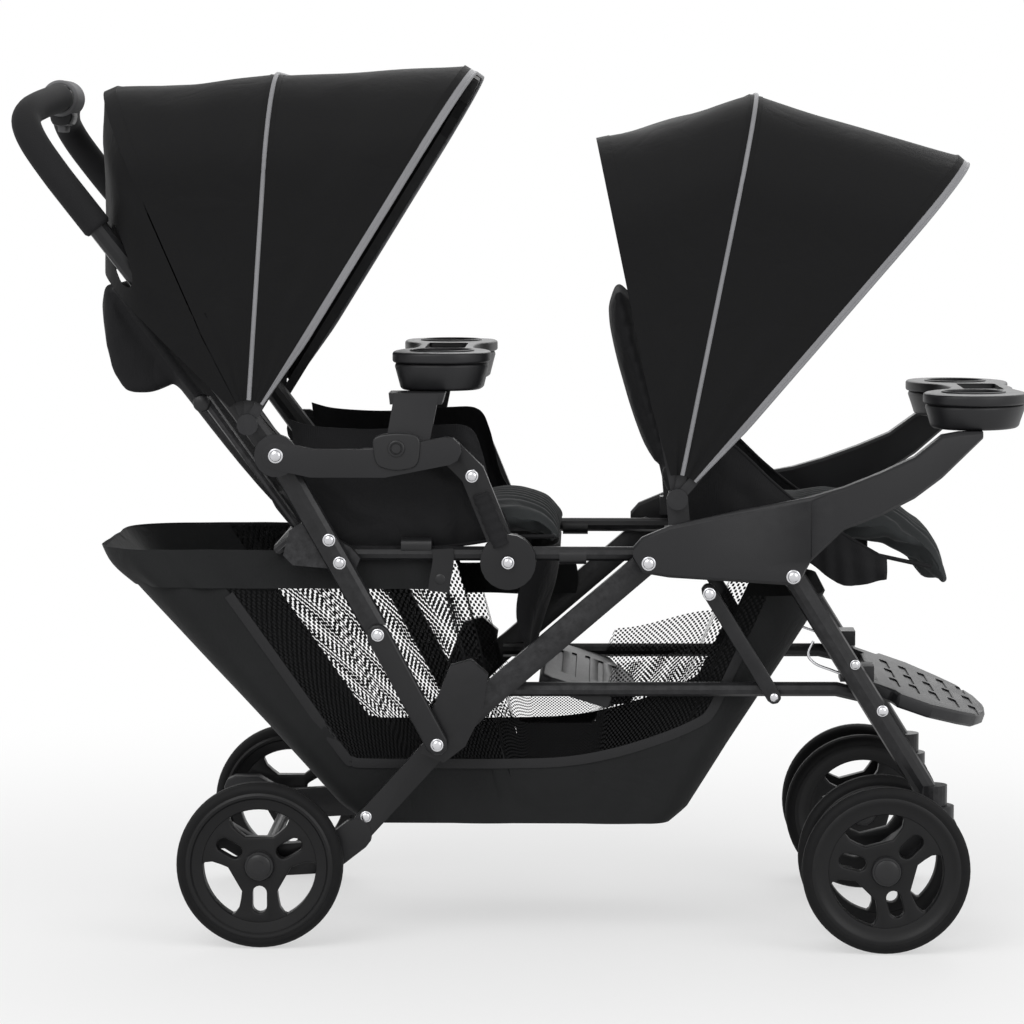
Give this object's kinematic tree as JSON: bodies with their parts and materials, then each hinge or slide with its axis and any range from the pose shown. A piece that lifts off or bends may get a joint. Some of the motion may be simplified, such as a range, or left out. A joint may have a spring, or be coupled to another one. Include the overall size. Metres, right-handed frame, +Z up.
{
  "type": "double stroller",
  "caption": "Folding tandem stroller: one seat behind the other, each with a canopy and a cup tray, over a slung basket.",
  "frame": {"origin": "on the floor, under the middle of the overall box", "axes": "+X to the front, +Y to the riders' left, +Z up"},
  "size_m": [1.2396, 0.5556, 1.0713],
  "materials": {
    "steel": "satin black powder coat",
    "plastic": "fine-grained black plastic",
    "grey_plastic": "grey plastic",
    "foam": "black foam sleeve",
    "canopy_cloth": "black woven polyester",
    "seat_cloth": "charcoal quilted polyester",
    "mesh_cloth": "black polyester with mesh panels",
    "tyre": "black foam-filled tyre on a black plastic rim"
  },
  "bodies": {
    "frame": {"seat_rail_right": "steel", "seat_rail_left": "steel", "front_cover_right": "plastic", "front_cover_left": "plastic", "front_tray": "plastic", "rear_seat_pad": "seat_cloth", "front_seat_pad": "seat_cloth", "calf_flap": "seat_cloth", "basket": "mesh_cloth"},
    "push_frame": {"push_handle": "steel", "grip_right": "foam", "grip_left": "foam", "fold_housing": "grey_plastic", "rear_canopy_back_bow": "plastic"},
    "fold_button": {"fold_button": "grey_plastic"},
    "armrests": {"armrest_right": "plastic", "armrest_left": "plastic", "rear_tray": "plastic"},
    "arm_struts": {"arm_strut_right": "steel", "arm_strut_left": "steel"},
    "rear_legs": {"rear_leg_right": "steel", "rear_leg_left": "steel", "rear_axle": "steel"},
    "rear_wheel_right": {"rear_wheel_right": "tyre"},
    "rear_wheel_left": {"rear_wheel_left": "tyre"},
    "brake_lever_right": {"brake_lever_right": "plastic"},
    "brake_lever_left": {"brake_lever_left": "plastic"},
    "knee_links": {"knee_link_right": "steel", "knee_link_left": "steel"},
    "front_legs": {"front_leg_right": "steel", "front_leg_left": "steel", "front_footrest": "plastic"},
    "caster_right": {"caster_right": "plastic"},
    "caster_left": {"caster_left": "plastic"},
    "front_wheel_right_inner": {"front_wheel_right_inner": "tyre"},
    "front_wheel_right_outer": {"front_wheel_right_outer": "tyre"},
    "front_wheel_left_inner": {"front_wheel_left_inner": "tyre"},
    "front_wheel_left_outer": {"front_wheel_left_outer": "tyre"},
    "low_rails": {"low_rail_right": "steel", "low_rail_left": "steel", "mid_footrest": "plastic"},
    "braces": {"brace_right": "steel", "brace_left": "steel"},
    "rear_back_hinge": {"rear_recline_tube": "steel"},
    "rear_seat_back": {"rear_seat_back": "canopy_cloth"},
    "front_back_hinge": {"front_canopy_back_bow": "plastic"},
    "front_seat_back": {"front_seat_back": "canopy_cloth"},
    "rear_canopy_turn": {"rear_canopy_cap_right": "plastic", "rear_canopy_cloth": "canopy_cloth"},
    "rear_canopy_middle": {"rear_canopy_mid_bow": "plastic"},
    "rear_canopy_edge_turn": {"rear_canopy_cap_left": "plastic", "rear_canopy_front_cloth": "canopy_cloth"},
    "rear_canopy_edge": {"rear_canopy_front_bow": "plastic"},
    "front_canopy_turn": {"front_canopy_cap_right": "plastic", "front_canopy_cloth": "canopy_cloth"},
    "front_canopy_middle": {"front_canopy_mid_bow": "plastic"},
    "front_canopy_edge_turn": {"front_canopy_cap_left": "plastic", "front_canopy_front_cloth": "canopy_cloth"},
    "front_canopy_edge": {"front_canopy_front_bow": "plastic"}
  },
  "joints": [
    {"name": "frame_fold", "type": "hinge", "parent": "frame", "child": "push_frame", "pos_m": [-0.22093, 0, 0.4701], "axis": [0, 1, 0], "range_deg": [0, 88], "deforming": ["basket", "calf_flap", "rear_canopy_cloth", "front_canopy_cloth", "rear_canopy_front_cloth", "front_canopy_front_cloth"]},
    {"name": "fold_button_press", "type": "slide", "parent": "push_frame", "child": "fold_button", "axis": [0, 0, 1], "range_m": [0, 0.006], "stiffness_N_per_m": 200},
    {"name": "armrest_fold", "type": "hinge", "parent": "push_frame", "child": "armrests", "pos_m": [-0.29683, 0, 0.6011], "axis": [0, 1, 0], "range_deg": [-88, 0]},
    {"name": "arm_strut_fold", "type": "hinge", "parent": "frame", "child": "arm_struts", "pos_m": [-0.01683, 0, 0.4708], "axis": [0, 1, 0], "range_deg": [0, 88]},
    {"name": "rear_leg_fold", "type": "hinge", "parent": "frame", "child": "rear_legs", "pos_m": [0.15337, 0, 0.4717], "axis": [0, 1, 0], "range_deg": [0, 21.56]},
    {"name": "knee_fold", "type": "hinge", "parent": "rear_legs", "child": "knee_links", "pos_m": [-0.10253, 0, 0.2497], "axis": [0, 1, 0], "range_deg": [-59.78, 0]},
    {"name": "front_leg_fold", "type": "hinge", "parent": "frame", "child": "front_legs", "pos_m": [0.32777, 0, 0.4561], "axis": [0, 1, 0], "range_deg": [0, 19.92]},
    {"name": "low_rail_fold", "type": "hinge", "parent": "front_legs", "child": "low_rails", "pos_m": [0.43807, 0, 0.2885], "axis": [0, 1, 0], "range_deg": [-6.67, 0]},
    {"name": "brace_fold", "type": "hinge", "parent": "frame", "child": "braces", "pos_m": [0.22667, 0, 0.4351], "axis": [0, 1, 0], "range_deg": [0, 21.09]},
    {"name": "rear_back_fold", "type": "hinge", "parent": "frame", "child": "rear_back_hinge", "pos_m": [-0.26933, 0, 0.5038], "axis": [0, 1, 0], "range_deg": [0, 93.61]},
    {"name": "front_back_fold", "type": "hinge", "parent": "frame", "child": "front_back_hinge", "pos_m": [0.18807, 0, 0.548], "axis": [0, 1, 0], "range_deg": [0, 59.01]},
    {"name": "rear_canopy_fold", "type": "hinge", "parent": "push_frame", "child": "rear_canopy_turn", "pos_m": [-0.33053, 0, 0.6387], "axis": [0, 1, 0], "range_deg": [-24.91, 0]},
    {"name": "rear_canopy_edge_fold", "type": "hinge", "parent": "rear_canopy_middle", "child": "rear_canopy_edge_turn", "pos_m": [-0.33053, 0, 0.6387], "axis": [0, 1, 0], "range_deg": [-25.31, 0]},
    {"name": "front_canopy_fold", "type": "hinge", "parent": "front_back_hinge", "child": "front_canopy_turn", "pos_m": [0.18807, 0, 0.548], "axis": [0, 1, 0], "range_deg": [-20.51, 0]},
    {"name": "front_canopy_edge_fold", "type": "hinge", "parent": "front_canopy_middle", "child": "front_canopy_edge_turn", "pos_m": [0.18807, 0, 0.548], "axis": [0, 1, 0], "range_deg": [-26.91, 0]},
    {"name": "rear_canopy_close", "type": "hinge", "parent": "rear_canopy_turn", "child": "rear_canopy_middle", "pos_m": [-0.33053, 0, 0.6387], "axis": [0, 1, 0], "range_deg": [-24.9, 0], "deforming": ["rear_canopy_cloth", "rear_canopy_front_cloth"]},
    {"name": "rear_canopy_edge_close", "type": "hinge", "parent": "rear_canopy_edge_turn", "child": "rear_canopy_edge", "pos_m": [-0.33053, 0, 0.6387], "axis": [0, 1, 0], "range_deg": [-25.31, 0]},
    {"name": "front_canopy_close", "type": "hinge", "parent": "front_canopy_turn", "child": "front_canopy_middle", "pos_m": [0.18807, 0, 0.548], "axis": [0, 1, 0], "range_deg": [-20.5, 0], "deforming": ["front_canopy_cloth", "front_canopy_front_cloth"]},
    {"name": "front_canopy_edge_close", "type": "hinge", "parent": "front_canopy_edge_turn", "child": "front_canopy_edge", "pos_m": [0.18807, 0, 0.548], "axis": [0, 1, 0], "range_deg": [-26.91, 0]},
    {"name": "rear_seat_recline", "type": "hinge", "parent": "rear_back_hinge", "child": "rear_seat_back", "pos_m": [-0.26933, 0, 0.5038], "axis": [0, 1, 0], "range_deg": [-25, 0], "deforming": ["rear_canopy_cloth"]},
    {"name": "front_seat_recline", "type": "hinge", "parent": "front_back_hinge", "child": "front_seat_back", "pos_m": [0.18807, 0, 0.548], "axis": [0, 1, 0], "range_deg": [-22, 0]},
    {"name": "rear_wheel_right_spin", "type": "hinge", "parent": "rear_legs", "child": "rear_wheel_right", "pos_m": [-0.31893, -0.24, 0.1016], "axis": [0, 1, 0], "continuous": true},
    {"name": "brake_lever_right_press", "type": "hinge", "parent": "rear_legs", "child": "brake_lever_right", "pos_m": [-0.31893, -0.187, 0.1016], "axis": [0, 1, 0], "range_deg": [-14, 0]},
    {"name": "caster_right_swivel", "type": "hinge", "parent": "front_legs", "child": "caster_right", "pos_m": [0.49957, -0.2133, 0.1775], "axis": [0, 0, 1], "continuous": true},
    {"name": "front_wheel_right_inner_spin", "type": "hinge", "parent": "caster_right", "child": "front_wheel_right_inner", "pos_m": [0.44107, -0.1648, 0.1016], "axis": [0, 1, 0], "continuous": true},
    {"name": "front_wheel_right_outer_spin", "type": "hinge", "parent": "caster_right", "child": "front_wheel_right_outer", "pos_m": [0.44107, -0.2618, 0.1016], "axis": [0, 1, 0], "continuous": true},
    {"name": "rear_wheel_left_spin", "type": "hinge", "parent": "rear_legs", "child": "rear_wheel_left", "pos_m": [-0.31893, 0.24, 0.1016], "axis": [0, 1, 0], "continuous": true},
    {"name": "brake_lever_left_press", "type": "hinge", "parent": "rear_legs", "child": "brake_lever_left", "pos_m": [-0.31893, 0.187, 0.1016], "axis": [0, 1, 0], "range_deg": [-14, 0]},
    {"name": "caster_left_swivel", "type": "hinge", "parent": "front_legs", "child": "caster_left", "pos_m": [0.49957, 0.2133, 0.1775], "axis": [0, 0, 1], "continuous": true},
    {"name": "front_wheel_left_inner_spin", "type": "hinge", "parent": "caster_left", "child": "front_wheel_left_inner", "pos_m": [0.44107, 0.1648, 0.1016], "axis": [0, 1, 0], "continuous": true},
    {"name": "front_wheel_left_outer_spin", "type": "hinge", "parent": "caster_left", "child": "front_wheel_left_outer", "pos_m": [0.44107, 0.2618, 0.1016], "axis": [0, 1, 0], "continuous": true}
  ],
  "couplings": [
    {"joint": "armrest_fold", "follows": "frame_fold", "ratio": -1},
    {"joint": "arm_strut_fold", "follows": "frame_fold", "ratio": 1},
    {"joint": "rear_leg_fold", "follows": "frame_fold", "ratio": 0.24489},
    {"joint": "knee_fold", "follows": "frame_fold", "ratio": -0.67927},
    {"joint": "front_leg_fold", "follows": "frame_fold", "ratio": 0.22621},
    {"joint": "low_rail_fold", "follows": "frame_fold", "ratio": -0.07573},
    {"joint": "brace_fold", "follows": "frame_fold", "ratio": 0.2396},
    {"joint": "rear_back_fold", "follows": "frame_fold", "ratio": 1.0636},
    {"joint": "front_back_fold", "follows": "frame_fold", "ratio": 0.67045},
    {"joint": "rear_canopy_fold", "follows": "frame_fold", "ratio": -0.28295},
    {"joint": "rear_canopy_edge_fold", "follows": "frame_fold", "ratio": -0.2875},
    {"joint": "front_canopy_fold", "follows": "frame_fold", "ratio": -0.23295},
    {"joint": "front_canopy_edge_fold", "follows": "frame_fold", "ratio": -0.30568},
    {"joint": "rear_canopy_edge_close", "follows": "rear_canopy_close", "ratio": 1.0161},
    {"joint": "front_canopy_edge_close", "follows": "front_canopy_close", "ratio": 1.3122}
  ]
}
